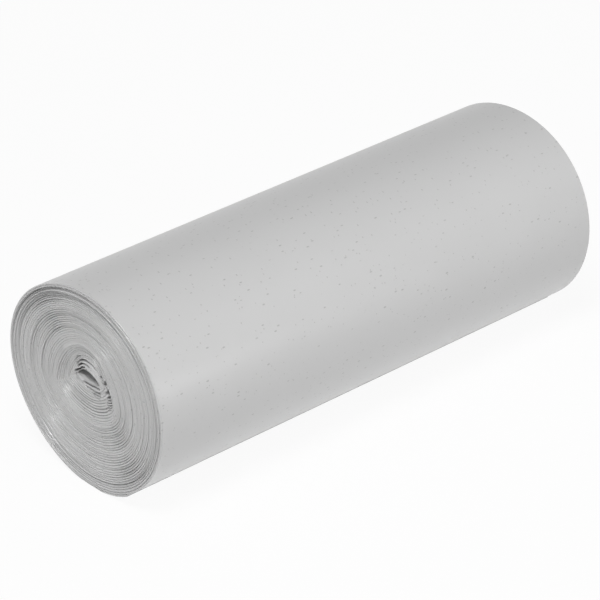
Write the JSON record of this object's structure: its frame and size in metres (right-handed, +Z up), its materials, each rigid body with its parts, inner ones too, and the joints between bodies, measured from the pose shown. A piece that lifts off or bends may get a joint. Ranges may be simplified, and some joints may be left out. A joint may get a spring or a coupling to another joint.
{
  "type": "bin bag roll",
  "caption": "Coreless roll of grey film bags wound from one folded web, slightly oval as it lies, with turns that show at both ends round a collapsed eye.",
  "frame": {"origin": "middle of the roll's box, on the surface it lies on", "axes": "+X along the roll from the near end to the far end, +Z up"},
  "size_m": [0.2024, 0.0798, 0.0744],
  "materials": {
    "film": "satin polyethylene film"
  },
  "bodies": {
    "root": {"bag_roll": "film"}
  },
  "joints": []
}
